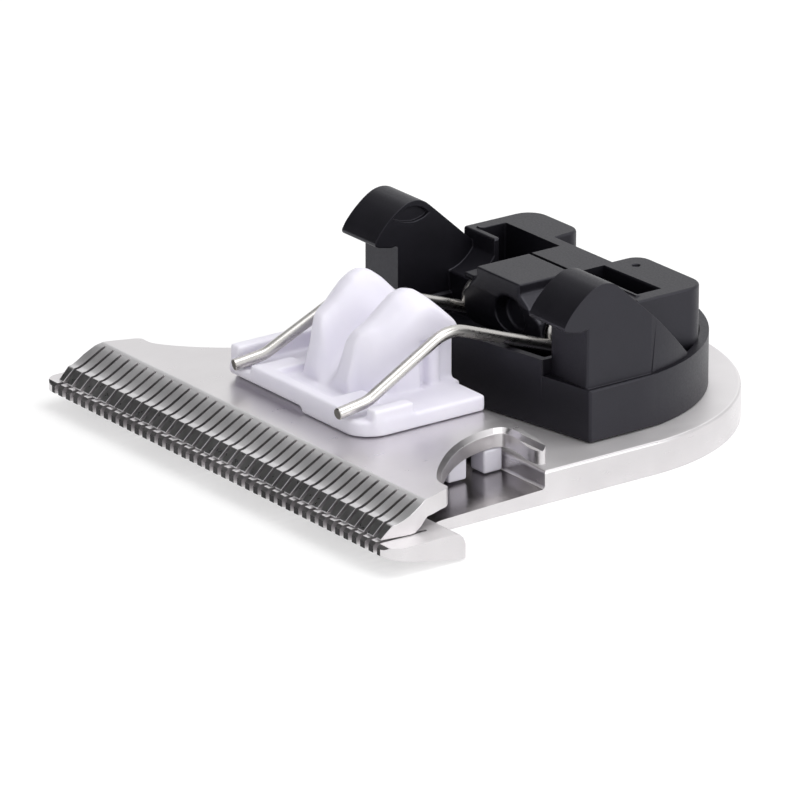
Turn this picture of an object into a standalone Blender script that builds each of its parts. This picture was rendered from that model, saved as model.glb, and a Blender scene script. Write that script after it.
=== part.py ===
"""Detachable clipper blade head: fixed and moving comb blades, drive follower, spring and bracket.

X runs along the tooth row, -Y is the cutting edge, +Z is up. The origin is the bottom centre.
Shapes are drawn in millimetres and scaled to metres when each object is made.
"""
import math

import bmesh
import bpy
import numpy as np
from mathutils import Matrix, Vector

MM = 0.001
GAP = 0.06               # clearance between pieces that rest on each other

# Driving dimensions, mm
LENGTH = 44.2
TIP_Y = -LENGTH / 2
PLATE_HALF_WIDTH = 16.5
PLATE_THICKNESS = 2.5
REAR_ARC_Y = LENGTH / 2 - PLATE_HALF_WIDTH
WING_HALF_WIDTH = 21.9
WING_REAR_Y = -15.25
STEP_Y = -4.5
FLOOR_REAR_Z = 1.15
FLOOR_FRONT_Z = 0.85
CONTACT_Z = 2.15

FIXED_TEETH = 40
FIXED_PITCH = 1.0
FIXED_SLOT_WIDTH = 0.36
FIXED_SLOT_ROOT_Y = -17.6

CUTTER_X = -0.25         # where the moving blade is parked
CUTTER_LEAD = 0.55       # the moving teeth stop this far behind the fixed tips
CUTTER_TIP_Y = TIP_Y + CUTTER_LEAD
CUTTER_TOP_Z = 4.45
CUTTER_BODY_THICKNESS = 1.4
CUTTER_HALF_WIDTH = 20.3
CUTTER_REAR_Y = -3.7
CUTTER_PITCH = FIXED_PITCH * 10 / 9
CUTTER_SLOTS = 36
CUTTER_SLOT_WIDTH = 0.42
CUTTER_SLOT_ROOT_Y = -17.85

FOLLOWER_HALF_WIDTH = 8.5
FOLLOWER_FRONT_Y = -14.7
FOLLOWER_REAR_Y = -3.55
FOLLOWER_BASE_TOP_Z = 5.7
NEAR_CORNER_RADIUS = 2.2
FAR_CORNER_RADIUS = 0.8
RIM_HALF_WIDTH = 5.4
RAIL_X = 7.85
NEAR_RAIL = (6.5, -9.95)     # top z and rear end y
FAR_RAIL = (7.05, -5.5)
RIVET_X = 5.6
RIVET_Y = -8.6
RIVET_RADIUS = 0.9
FOOT_X = (10.25, 11.95)
FOOT_ROWS_Y = (-8.7, -5.5)
FOOT_SIZE_Y = 1.65
FOOT_PEG_RADIUS = 0.42
FOOT_PEG_TOP_Z = 3.8

WIRE_RADIUS = 0.45
COIL_Y = 5.9
COIL_Z = 7.7
COIL_RADIUS = 1.2
COIL_TURNS = 2
COIL_PITCH = 0.96
COIL_OUTER_X = 5.3
BARREL_RADIUS = 2.15
BARREL_LEFT_X = -4.3
BARREL_RIGHT_X = 5.2
BORE_RADIUS = 1.77
MOUTH_CENTRE = (1.35, 8.25)
MOUTH_SIZE = (1.8, 1.45)

BRACKET_HALF_WIDTH = 14.05
BRACKET_BOTTOM_Z = PLATE_THICKNESS + GAP
RIM_TOP_Z = 6.6
RIM_WALL = 0.7
BRACKET_FRONT_Y = 1.45
BRACKET_NOSE_Y = -1.05
FRONT_WALL_TOP_Z = 7.8
TOWER_INNER_X = 9.4
TOWER_OUTER_X = 13.65
DECK_TOP_Z = 11.0
TONGUE_HALF_WIDTH = 2.62
TONGUE_FRONT_Y = 3.65
TONGUE_SPLIT_Y = 8.8
LUG_REAR_Y = 15.0
LUG_OUTER_X = 10.6

SCREW_X = 7.0
SCREW_Y = 13.2
SCREW_RADIUS = 1.1
SCREW_HEAD_RADIUS = 2.1
SCREW_HEAD_HEIGHT = 1.1
SCREW_TIP_Z = 6.6

STEEL = ("steel", (0.62, 0.61, 0.59), 0.28, 1.0)
WHITE = ("white_plastic", (0.80, 0.79, 0.84), 0.45, 0.0)
BLACK = ("black_plastic", (0.02, 0.02, 0.022), 0.35, 0.0)
SPRING_STEEL = ("spring_steel", (0.55, 0.53, 0.50), 0.25, 1.0)
SCREW_STEEL = ("screw_steel", (0.45, 0.45, 0.46), 0.30, 1.0)


# ---------------------------------------------------------------- scene and mesh helpers

def clear_scene():
    for obj in list(bpy.data.objects):
        bpy.data.objects.remove(obj, do_unlink=True)


def material(spec):
    """Return the Principled material that a (name, colour, roughness, metallic) tuple describes."""
    name, colour, roughness, metallic = spec
    found = bpy.data.materials.get(name)
    if found:
        return found
    made = bpy.data.materials.new(name)
    made.use_nodes = True
    shader = made.node_tree.nodes["Principled BSDF"]
    shader.inputs["Base Color"].default_value = (*colour, 1.0)
    shader.inputs["Roughness"].default_value = roughness
    shader.inputs["Metallic"].default_value = metallic
    return made


def mesh_object(bm, name="tool"):
    """Link a new object that holds the bmesh, with its faces pointing out."""
    bmesh.ops.recalc_face_normals(bm, faces=bm.faces)
    mesh = bpy.data.meshes.new(name)
    bm.to_mesh(mesh)
    bm.free()
    obj = bpy.data.objects.new(name, mesh)
    bpy.context.scene.collection.objects.link(obj)
    return obj


def prism(outline, low, high, axis="Z"):
    """Extrude a closed outline between two planes. The outline is (x, y), (y, z) or (x, z)."""
    place = {"Z": lambda a, b, c: (a, b, c),
             "X": lambda a, b, c: (c, a, b),
             "Y": lambda a, b, c: (a, c, b)}[axis]
    bm = bmesh.new()
    base = bm.faces.new([bm.verts.new(place(a, b, low)) for a, b in outline])
    top = bmesh.ops.extrude_face_region(bm, geom=[base])
    offset = Vector(place(0, 0, high)) - Vector(place(0, 0, low))
    moved = [item for item in top["geom"] if isinstance(item, bmesh.types.BMVert)]
    bmesh.ops.translate(bm, verts=moved, vec=offset)
    return mesh_object(bm)


def box(low, high):
    outline = [(low[0], low[1]), (high[0], low[1]), (high[0], high[1]), (low[0], high[1])]
    return prism(outline, low[2], high[2])


def rod(radius, start, end, sides=20, end_radius=None):
    """A round bar, or a cone when end_radius is given, between two points."""
    start, end = Vector(start), Vector(end)
    span = end - start
    bm = bmesh.new()
    bmesh.ops.create_cone(bm, cap_ends=True, segments=sides, radius1=radius,
                          radius2=radius if end_radius is None else end_radius, depth=span.length)
    turn = Vector((0, 0, 1)).rotation_difference(span).to_matrix().to_4x4()
    bm.transform(Matrix.Translation((start + end) / 2) @ turn)
    return mesh_object(bm)


def combine(base, tools, operation):
    """Apply a Boolean of each tool to base and remove the tools."""
    for tool in tools:
        modifier = base.modifiers.new("combine", "BOOLEAN")
        modifier.operation = operation
        modifier.solver = "EXACT"
        modifier.object = tool
        graph = bpy.context.evaluated_depsgraph_get()
        result = bpy.data.meshes.new_from_object(base.evaluated_get(graph))
        base.modifiers.clear()
        base.data = result
        bpy.data.objects.remove(tool, do_unlink=True)
    return base


def mirrored(obj):
    """A copy of obj on the other side of the X = 0 plane."""
    bm = bmesh.new()
    bm.from_mesh(obj.data)
    bm.transform(Matrix.Scale(-1, 4, (1, 0, 0)))
    bmesh.ops.reverse_faces(bm, faces=bm.faces)
    return mesh_object(bm)


def finish(obj, name, spec, origin=(0.0, 0.0, 0.0), smooth_angle=35):
    """Name the piece, put its origin in place, scale it to metres and give it its material."""
    origin = Vector(origin)
    obj.name = name
    obj.data.name = name
    obj.data.transform(Matrix.Scale(MM, 4) @ Matrix.Translation(-origin))
    obj.location = origin * MM
    obj.data.materials.clear()
    obj.data.materials.append(material(spec))
    obj.data.shade_smooth()
    obj.data.set_sharp_from_angle(angle=math.radians(smooth_angle))
    return obj


def arc(centre, radius, start, end, steps):
    """Points on an arc, in degrees, both ends included."""
    angles = np.radians(np.linspace(start, end, steps + 1))
    return [(centre[0] + radius * math.cos(a), centre[1] + radius * math.sin(a)) for a in angles]


def both_sides(right_half):
    """Close an outline whose right half runs from front to rear."""
    return right_half + [(-x, y) for x, y in reversed(right_half) if abs(x) > 1e-6]


def ease(t):
    return t * t * (3 - 2 * t)


def smooth_line(points, steps):
    """Catmull-Rom curve through 2-D points, ends included."""
    padded = [points[0]] + list(points) + [points[-1]]
    line = [points[0]]
    for a, b, c, d in zip(padded, padded[1:], padded[2:], padded[3:]):
        for step in range(1, steps + 1):
            t = step / steps
            line.append(tuple(0.5 * (2 * b[i] + (c[i] - a[i]) * t
                                     + (2 * a[i] - 5 * b[i] + 4 * c[i] - d[i]) * t * t
                                     + (3 * b[i] - a[i] - 3 * c[i] + d[i]) * t ** 3) for i in (0, 1)))
    return line


def loft(rings):
    """Closed body through rings of equal length."""
    bm = bmesh.new()
    rows = [[bm.verts.new(point) for point in ring] for ring in rings]
    count = len(rows[0])
    for one, two in zip(rows, rows[1:]):
        for i in range(count):
            j = (i + 1) % count
            bm.faces.new((one[i], one[j], two[j], two[i]))
    bm.faces.new(list(reversed(rows[0])))
    bm.faces.new(rows[-1])
    return mesh_object(bm)


# ---------------------------------------------------------------- blades

def fixed_plan():
    """Outline of the T: tooth row, rounded wing, waist and round rear."""
    wing_nose = arc((WING_HALF_WIDTH - 1.3, TIP_Y + 1.3), 1.3, -90, 0, 5)
    wing_rear = arc((WING_HALF_WIDTH - 0.7, WING_REAR_Y - 0.7), 0.7, 0, 90, 4)
    waist = arc((PLATE_HALF_WIDTH + 1.6, WING_REAR_Y + 1.6), 1.6, 270, 180, 5)
    rear = arc((0, REAR_ARC_Y), PLATE_HALF_WIDTH, 0, 90, 14)
    return both_sides(wing_nose + wing_rear + waist + rear)


def fixed_profile():
    """Side profile: flat rear, recessed floor, contact bar and underside ground up to the tips."""
    grind_start = -14.4
    grind_end_z = CONTACT_Z - 0.75
    span = grind_start - TIP_Y
    underside = [(grind_start - span * t, grind_end_z * t ** 1.35) for t in np.linspace(0, 1, 9)]
    top = [(TIP_Y, CONTACT_Z - 0.25), (TIP_Y + 0.25, CONTACT_Z), (-16.45, CONTACT_Z),
           (-16.1, CONTACT_Z - 0.12), (-15.8, CONTACT_Z - 0.4), (-15.5, FLOOR_FRONT_Z + 0.35),
           (WING_REAR_Y, FLOOR_FRONT_Z + 0.08), (-14.9, FLOOR_FRONT_Z), (STEP_Y, FLOOR_REAR_Z),
           (STEP_Y, PLATE_THICKNESS)]
    return [(LENGTH / 2 + 1, 0.0)] + underside + top + [(LENGTH / 2 + 1, PLATE_THICKNESS)]


def comb_cutters(count, pitch, centre_x, width, mouth_width, root_y, mouth_y, low_z, high_z):
    """One object that holds a row of slot cutters, each widened at its mouth."""
    bm = bmesh.new()
    half = width / 2
    flare_y = mouth_y + 0.75
    shape = [(-mouth_width / 2, mouth_y - 1), (-mouth_width / 2, mouth_y), (-half, flare_y),
             (-half, root_y - half), (-half * 0.6, root_y), (half * 0.6, root_y), (half, root_y - half),
             (half, flare_y), (mouth_width / 2, mouth_y), (mouth_width / 2, mouth_y - 1)]
    for index in range(count):
        x = centre_x + (index - (count - 1) / 2) * pitch
        rings = [[bm.verts.new((x + px, py, z)) for px, py in shape] for z in (low_z, high_z)]
        bm.faces.new(rings[0])
        bm.faces.new(rings[1])
        for a in range(len(shape)):
            b = (a + 1) % len(shape)
            bm.faces.new((rings[0][a], rings[0][b], rings[1][b], rings[1][a]))
    return mesh_object(bm)


def build_fixed_blade():
    blade = prism(fixed_profile(), -WING_HALF_WIDTH - 1, WING_HALF_WIDTH + 1, "X")
    combine(blade, [prism(fixed_plan(), -1, 4)], "INTERSECT")
    slots = comb_cutters(FIXED_TEETH + 1, FIXED_PITCH, 0, FIXED_SLOT_WIDTH, 0.62,
                         FIXED_SLOT_ROOT_Y, TIP_Y, -1, 4)
    combine(blade, [slots], "DIFFERENCE")
    for side in (-1, 1):
        place = (side * SCREW_X, SCREW_Y)
        hole = rod(SCREW_RADIUS + 0.15, (*place, -1), (*place, 4), 16)
        sink = rod(SCREW_HEAD_RADIUS + 0.4, (*place, -0.2), (*place, SCREW_HEAD_HEIGHT + 0.12), 24,
                   SCREW_RADIUS + 0.1)
        combine(blade, [hole, sink], "DIFFERENCE")
    return finish(blade, "fixed_blade", STEEL)


def cutter_plan():
    """Outline of the moving blade about its own centre line, with one locating arm on the right."""
    side = [(CUTTER_HALF_WIDTH - 0.1, CUTTER_TIP_Y), (CUTTER_HALF_WIDTH + 0.2, -19.2),
            (CUTTER_HALF_WIDTH + 0.1, -18.2)]
    side += smooth_line([(20.2, -17.7), (19.95, -16.8), (19.6, -15.9), (19.35, -15.2), (18.9, -14.75)], 2)
    notch = smooth_line([(18.3, -14.6), (17.5, -14.3), (15.9, -13.0), (14.1, -11.0), (12.85, -9.1),
                         (12.2, -7.5), (11.95, -6.3), (11.9, -5.35)], 2)
    arm = smooth_line([(12.1, -4.85), (12.6, -4.6), (14.0, -4.7), (15.3, -5.0), (16.3, -5.0),
                       (16.75, -4.65), (16.4, -4.2), (14.8, -3.95), (13.2, -3.8), (12.5, CUTTER_REAR_Y)], 2)
    plain_end = [(11.9, -4.2), (11.5, CUTTER_REAR_Y)]
    return side + notch + arm + [(-x, y) for x, y in reversed(side + notch + plain_end)]


def cutter_profile():
    """Side profile: flat body, S-shaped ramp down to the teeth, land, front bevel and contact face."""
    ramp = [(CUTTER_SLOT_ROOT_Y + 0.25 - 2.5 * t, CUTTER_TOP_Z - 1.27 * (0.6 * t + 0.4 * ease(t)))
            for t in np.linspace(0, 1, 7)]
    under_z = CUTTER_TOP_Z - CUTTER_BODY_THICKNESS
    contact = CONTACT_Z + GAP
    return ([(CUTTER_REAR_Y + 1, CUTTER_TOP_Z)] + ramp
            + [(CUTTER_TIP_Y + 0.90, CUTTER_TOP_Z - 1.30), (CUTTER_TIP_Y, contact + 0.12),
               (CUTTER_TIP_Y, contact), (-18.7, contact), (-17.4, under_z), (CUTTER_REAR_Y + 1, under_z)])


def build_moving_blade():
    blade = prism(cutter_profile(), -CUTTER_HALF_WIDTH - 1, CUTTER_HALF_WIDTH + 1, "X")
    combine(blade, [prism(cutter_plan(), 1, 6)], "INTERSECT")
    slots = comb_cutters(CUTTER_SLOTS, CUTTER_PITCH, 0, CUTTER_SLOT_WIDTH, CUTTER_SLOT_WIDTH + 0.12,
                         CUTTER_SLOT_ROOT_Y, CUTTER_TIP_Y, 1, 6)
    combine(blade, [slots], "DIFFERENCE")
    for x in (-RIVET_X, RIVET_X):
        combine(blade, [rod(RIVET_RADIUS + GAP, (x, RIVET_Y, 1), (x, RIVET_Y, 6), 16)], "DIFFERENCE")
    for x, y in foot_places():
        hole = rod(FOOT_PEG_RADIUS + GAP, (x, y, 1), (x, y, FOOT_PEG_TOP_Z + GAP), 12)
        combine(blade, [hole], "DIFFERENCE")
    blade.data.transform(Matrix.Translation((CUTTER_X, 0, 0)))
    return finish(blade, "moving_blade", STEEL, (CUTTER_X, 0, 0))


# ---------------------------------------------------------------- follower, feet and rivets

def foot_places():
    """Centres of the four feet: two rows, both sides."""
    x = sum(FOOT_X) / 2
    return [(side * x, y) for side in (-1, 1) for y in FOOT_ROWS_Y]


# y, half width, crest x, crest z, shoulder z, groove z
EAR_STATIONS = [
    (-3.15, 4.60, 2.80, 10.15, 9.90, 9.50), (-3.95, 4.60, 2.80, 11.00, 10.60, 9.60),
    (-4.95, 4.60, 2.75, 12.00, 11.35, 9.75), (-5.90, 4.60, 2.70, 12.70, 11.80, 9.75),
    (-6.80, 4.60, 2.70, 12.95, 11.65, 9.60), (-7.70, 4.55, 2.65, 12.65, 11.00, 9.25),
    (-8.60, 4.35, 2.60, 11.90, 10.30, 8.80), (-9.40, 3.95, 2.50, 11.15, 9.95, 8.10),
    (-10.20, 3.45, 2.40, 10.60, 10.00, 7.30), (-10.75, 3.00, 2.25, 10.25, 9.90, 6.70),
    (-11.05, 2.80, 2.10, 9.70, 9.30, 6.40), (-11.30, 2.75, 2.00, 8.40, 8.10, 6.10),
    (-11.80, 2.80, 2.00, 6.60, 6.50, 5.70)]


def ear_ring(y, half, crest_x, crest, shoulder, groove):
    """Section across both ears at one station."""
    rise = crest - groove
    right = [(half + 0.25, 5.0), (half, shoulder - 0.5), (half - 0.12, shoulder),
             ((half + crest_x) / 2 + 0.25, (shoulder + crest) / 2 + 0.12), (crest_x + 0.35, crest - 0.05),
             (crest_x - 0.5, crest - 0.12), (crest_x * 0.62, groove + rise * 0.78),
             (crest_x * 0.42, groove + rise * 0.42), (crest_x * 0.20, groove + rise * 0.10), (0.0, groove)]
    return [(x, y, z) for x, z in right] + [(-x, y, z) for x, z in reversed(right[:-1])]


def build_follower():
    low = CUTTER_TOP_Z + GAP
    half, front_y, rear_y = FOLLOWER_HALF_WIDTH, FOLLOWER_FRONT_Y, FOLLOWER_REAR_Y
    near = arc((half - NEAR_CORNER_RADIUS, front_y + NEAR_CORNER_RADIUS), NEAR_CORNER_RADIUS, -90, 0, 6)
    rear = arc((half - 0.35, rear_y - 0.35), 0.35, 0, 90, 2)
    far = arc((half - FAR_CORNER_RADIUS, front_y + FAR_CORNER_RADIUS), FAR_CORNER_RADIUS, -90, 0, 3)
    plan = near + rear + [(-x, y) for x, y in reversed(rear)] + [(-x, y) for x, y in reversed(far)]
    body = prism(plan, low, FOLLOWER_BASE_TOP_Z)
    slope = [(front_y - 1, 5.0), (front_y - 1, 6.3), (front_y + 0.9, 6.3), (front_y + 2.3, 5.6),
             (front_y + 2.3, 5.0)]
    rim = prism(plan, 5.0, 6.3)
    combine(rim, [prism(slope, -RIM_HALF_WIDTH, RIM_HALF_WIDTH, "X")], "INTERSECT")
    ears = loft([ear_ring(*station) for station in EAR_STATIONS])
    combine(body, [rim, ears], "UNION")
    for side, (top, reach) in ((1, NEAR_RAIL), (-1, FAR_RAIL)):
        rail = box((side * RAIL_X - 0.55, front_y + 1.2, 5.2), (side * RAIL_X + 0.55, reach, top))
        foot = box((side * 4.4 - 0.9, front_y + 0.6, 5.2), (side * 4.4 + 0.9, -11.0, 6.3))
        combine(body, [rail, foot], "UNION")
        pocket = box((side * 4.6 - 0.75, -6.7, FOLLOWER_BASE_TOP_Z), (side * 4.6 + 0.75, -3.0, 9.3))
        combine(body, [pocket], "DIFFERENCE")
        rib = rod(0.62, (side * 4.0, -5.2, 5.2), (side * 4.0, -5.2, 9.6), 10)
        combine(body, [rib], "UNION")
        x = side * RIVET_X
        combine(body, [rod(RIVET_RADIUS - 0.1, (x, RIVET_Y, 4), (x, RIVET_Y, 5.3), 16)], "DIFFERENCE")
    undercut = box((-9, -15.5, 4.0), (0.9, -13.9, 4.95))
    combine(body, [undercut], "DIFFERENCE")
    body.data.transform(Matrix.Translation((CUTTER_X, 0, 0)))
    return finish(body, "drive_follower", WHITE, (CUTTER_X, 0, 0))


def build_rivets():
    under_z = CUTTER_TOP_Z - CUTTER_BODY_THICKNESS
    for side, label in ((-1, "left"), (1, "right")):
        x = side * RIVET_X + CUTTER_X
        head = rod(1.6, (x, RIVET_Y, under_z - 0.9), (x, RIVET_Y, under_z - GAP), 20)
        shank = rod(RIVET_RADIUS - 0.2, (x, RIVET_Y, under_z - 0.5), (x, RIVET_Y, 5.2), 16)
        combine(head, [shank], "UNION")
        finish(head, "follower_rivet_" + label, SCREW_STEEL, (x, RIVET_Y, under_z))


def build_feet():
    under_z = CUTTER_TOP_Z - CUTTER_BODY_THICKNESS
    half_x = (FOOT_X[1] - FOOT_X[0]) / 2
    half_y = FOOT_SIZE_Y / 2
    bottom = FLOOR_REAR_Z + GAP
    for x, y in foot_places():
        x += CUTTER_X
        foot = box((x - half_x, y - half_y, bottom), (x + half_x, y + half_y, under_z - GAP))
        peg = rod(FOOT_PEG_RADIUS, (x, y, under_z - 0.5), (x, y, FOOT_PEG_TOP_Z), 12)
        combine(foot, [peg], "UNION")
        row = "front" if y < -7 else "rear"
        label = "left" if x < 0 else "right"
        finish(foot, f"glide_foot_{row}_{label}", WHITE, (x, y, bottom))


# ---------------------------------------------------------------- spring and its holder

def rounded_route(points, radii):
    """The polyline with each inner corner replaced by a curve of the given reach."""
    route = [Vector(points[0])]
    for before, here, after, reach in zip(points, points[1:], points[2:], radii):
        before, here, after = Vector(before), Vector(here), Vector(after)
        start = here + (before - here).normalized() * reach
        end = here + (after - here).normalized() * reach
        for step in range(5):
            t = step / 4
            route.append((1 - t) ** 2 * start + 2 * t * (1 - t) * here + t * t * end)
    route.append(Vector(points[-1]))
    return route


def spring_route():
    """The whole wire: left arm, left coil, bridge, right coil and right arm."""
    coil = []
    for step in range(12 * COIL_TURNS + 1):
        angle = math.radians(-110 - 30 * step)
        coil.append((COIL_OUTER_X - step / 12 * COIL_PITCH,
                     COIL_Y + COIL_RADIUS * math.cos(angle), COIL_Z + COIL_RADIUS * math.sin(angle)))
    halves = []
    for side, tip, drop in ((1, (6.45, -15.5, 6.3), 0.0), (-1, (6.9, -15.2, 6.05), 0.25)):
        corners = [tip, (6.38, -12.9, 6.65 - 0.4 * drop), (5.95, -5.3, 10.5 - drop), coil[0]]
        arm = rounded_route(corners, (0.5, 1.6))
        halves.append([(side * x, y, z) for x, y, z in [*arm, *coil[1:]]])
    return halves[1] + list(reversed(halves[0]))


def build_spring():
    route = spring_route()
    curve = bpy.data.curves.new("torsion_spring", "CURVE")
    curve.dimensions = "3D"
    curve.bevel_depth = WIRE_RADIUS
    curve.bevel_resolution = 2
    curve.use_fill_caps = True
    spline = curve.splines.new("POLY")
    spline.points.add(len(route) - 1)
    for point, place in zip(spline.points, route):
        point.co = (*place, 1.0)
    tube = bpy.data.objects.new("tool", curve)
    bpy.context.scene.collection.objects.link(tube)
    graph = bpy.context.evaluated_depsgraph_get()
    mesh = bpy.data.meshes.new_from_object(tube.evaluated_get(graph))
    bpy.data.objects.remove(tube, do_unlink=True)
    bm = bmesh.new()
    bm.from_mesh(mesh)
    bmesh.ops.remove_doubles(bm, verts=bm.verts, dist=1e-4)
    return finish(mesh_object(bm), "torsion_spring", SPRING_STEEL)


def build_spring_holder():
    """Tongue-shaped block over the coils, with shoulders, a barrel and an open mouth at the front."""
    rear = TONGUE_SPLIT_Y - 0.22
    floor = POCKET_FLOOR_Z + GAP
    lower = arc((COIL_Y, COIL_Z), BARREL_RADIUS, 185, 262, 5)
    outline = ([(rear, floor), (rear, DECK_TOP_Z), (TONGUE_FRONT_Y, DECK_TOP_Z), (TONGUE_FRONT_Y - 0.05, 9.4)]
               + lower + [(COIL_Y, floor)])
    block = prism(outline, -6, 6, "X")
    half = TONGUE_HALF_WIDTH
    front = [(-half, DECK_TOP_Z + 1), (-half, 10.2), (BARREL_LEFT_X, 8.6), (BARREL_LEFT_X, 4), (5.0, 4),
             (5.0, 8.6), (half, 10.2), (half, DECK_TOP_Z + 1)]
    combine(block, [prism(front, 0, 6.2, "Y")], "INTERSECT")
    core = prism([(rear, floor), (rear, DECK_TOP_Z), (6.0, DECK_TOP_Z), (6.0, floor)], -half, half, "X")
    barrel = arc((COIL_Y, COIL_Z), BARREL_RADIUS, 0, 345, 23)
    hoods = [box((side * 4.9 - 0.75, 4.75, 8.0), (side * 4.9 + 0.75, 7.1, 9.5)) for side in (-1, 1)]
    combine(block, [core, prism(barrel, BARREL_LEFT_X, BARREL_RIGHT_X, "X")] + hoods, "UNION")
    for side in (-1, 1):
        bore = rod(BORE_RADIUS, (side * 2.75, COIL_Y, COIL_Z), (side * 6, COIL_Y, COIL_Z), 24)
        combine(block, [bore], "DIFFERENCE")
    oval = [(MOUTH_CENTRE[0] + MOUTH_SIZE[0] * x, MOUTH_CENTRE[1] + MOUTH_SIZE[1] * y)
            for x, y in arc((0, 0), 1.0, 0, 337.5, 15)]
    combine(block, [prism(oval, 0, COIL_Y - 1.0, "Y")], "DIFFERENCE")
    angle = math.radians(-110)
    bridge = (COIL_Y + COIL_RADIUS * math.cos(angle), COIL_Z + COIL_RADIUS * math.sin(angle))
    wire_hole = rod(WIRE_RADIUS + GAP, (-3.5, *bridge), (3.5, *bridge), 12)
    arm_slot = box((4.7, 3.0, 6.0), (6.0, 5.9, 7.95))
    combine(block, [wire_hole, arm_slot], "DIFFERENCE")
    return finish(block, "spring_holder", BLACK)


# ---------------------------------------------------------------- bracket and screws

POCKET_FLOOR_Z = 5.0


def d_outline(inset):
    """Half plan of the bracket base: shallow V front, straight sides, round rear."""
    half = BRACKET_HALF_WIDTH - inset
    front = [(0, BRACKET_NOSE_Y + inset), (half, BRACKET_FRONT_Y + inset)]
    return both_sides(front + arc((0, REAR_ARC_Y), half, 0, 90, 12))


def tower_profile():
    """Side outline of a tower: upright front, forward beak, round crown, straight rear slope."""
    beak = [(BRACKET_FRONT_Y, 11.15), (0.9, 11.2), (-0.3, 11.3), (-0.6, 11.45)]
    crown = smooth_line([(-0.62, 11.7), (-0.25, 12.3), (0.45, 13.05), (1.3, 13.75), (2.2, 14.25),
                         (3.1, 14.38), (3.9, 14.15), (4.6, 13.6)], 2)
    return [(BRACKET_FRONT_Y, 3.5)] + beak + crown + [(8.1, 10.45), (11.7, 6.9), (11.7, 3.5)]


def build_bracket():
    body = prism(d_outline(0), BRACKET_BOTTOM_Z, RIM_TOP_Z)
    moat = prism(d_outline(RIM_WALL), 4.4, 9)
    keep = box((-LUG_OUTER_X, -5, 3), (LUG_OUTER_X, LUG_REAR_Y, 10))
    flanks = box((-20, -5, 3.2), (20, 9.5, 9.6))
    combine(moat, [keep, flanks], "DIFFERENCE")
    combine(body, [moat], "DIFFERENCE")
    outer = LUG_OUTER_X - 1.7
    near_lug = ([(2.4, 8.4), (LUG_OUTER_X, 8.4)] + arc((outer, LUG_REAR_Y - 1.7), 1.7, 0, 90, 5)
                + arc((3.6, LUG_REAR_Y - 1.2), 1.2, 90, 180, 3))
    far_lug = ([(-4.5, 8.4)] + arc((-5.7, LUG_REAR_Y - 1.2), 1.2, 0, 90, 3)
               + arc((-outer, LUG_REAR_Y - 1.7), 1.7, 90, 180, 5) + [(-LUG_OUTER_X, 8.4)])
    lugs = [prism(near_lug, 4.0, DECK_TOP_Z), prism(far_lug, 4.0, DECK_TOP_Z),
            box((-5.0, 11.4, 8.6), (3.0, 12.3, DECK_TOP_Z)),
            box((-TONGUE_HALF_WIDTH, TONGUE_SPLIT_Y, 4.0), (TONGUE_HALF_WIDTH, 11.6, DECK_TOP_Z))]
    combine(body, lugs, "UNION")
    pocket = prism([(-9.1, 1.9), (0, 0.2), (9.1, 1.9), (9.1, 8.3), (-9.1, 8.3)], POCKET_FLOOR_Z, 15)
    combine(body, [pocket], "DIFFERENCE")
    tower = prism(tower_profile(), TOWER_INNER_X, TOWER_OUTER_X, "X")
    edge = BRACKET_HALF_WIDTH - 0.3
    trim = [(edge, -10)] + arc((0, REAR_ARC_Y), edge, 0, 75, 18) + [(-5, 25), (-5, -10)]
    combine(tower, [prism(trim, 0, 20)], "INTERSECT")
    run = (BRACKET_FRONT_Y - BRACKET_NOSE_Y) / BRACKET_HALF_WIDTH
    strip = both_sides([(0, BRACKET_NOSE_Y), (9.35, BRACKET_NOSE_Y + 9.35 * run),
                        (9.35, BRACKET_NOSE_Y + 9.35 * run + 0.6), (0, BRACKET_NOSE_Y + 0.6)])
    front_wall = prism(strip, 4.0, FRONT_WALL_TOP_Z)
    cove_centre = (5.6, DECK_TOP_Z + 0.6)
    cove = [(9.4, 4.5), (9.4, DECK_TOP_Z)] + arc(cove_centre, 3.4, -8, -80, 6) + [(6.4, 4.5)]
    cross_beam = prism(cove, TONGUE_HALF_WIDTH, TOWER_INNER_X + 0.3, "X")
    far_beam = prism(cove, -TOWER_INNER_X - 0.3, -6.7, "X")
    combine(body, [mirrored(tower), tower, cross_beam, far_beam, front_wall], "UNION")
    for side in (-1, 1):
        ends = [(side * 8.8, side * 9.39, 0.7), (side * 9.0, side * 9.6, 1.5)]
        posts = [box((min(a, b), y, 4.0), (max(a, b), 2.2, FRONT_WALL_TOP_Z)) for a, b, y in ends]
        combine(body, posts, "UNION")
    slots = [box((2.8, 9.35, 6.0), (9.3, 11.4, 12)), box((-9.3, 8.9, 6.0), (-2.8, 11.4, 12)),
             box((-6.7, 7.0, 6.0), (-2.8, 9.5, 12))]
    combine(body, slots, "DIFFERENCE")
    side_room = TONGUE_HALF_WIDTH + 0.15
    tongue_room = box((-side_room, 0, POCKET_FLOOR_Z), (side_room, TONGUE_SPLIT_Y, 15))
    coil_room = rod(BARREL_RADIUS + 0.2, (-6.4, COIL_Y, COIL_Z), (6.4, COIL_Y, COIL_Z), 24)
    combine(body, [tongue_room, coil_room], "DIFFERENCE")
    for side in (-1, 1):
        screw_hole = rod(SCREW_RADIUS + GAP, (side * SCREW_X, SCREW_Y, 1),
                         (side * SCREW_X, SCREW_Y, SCREW_TIP_Z + 0.3), 16)
        combine(body, [screw_hole], "DIFFERENCE")
    return finish(body, "bracket", BLACK)


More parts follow.
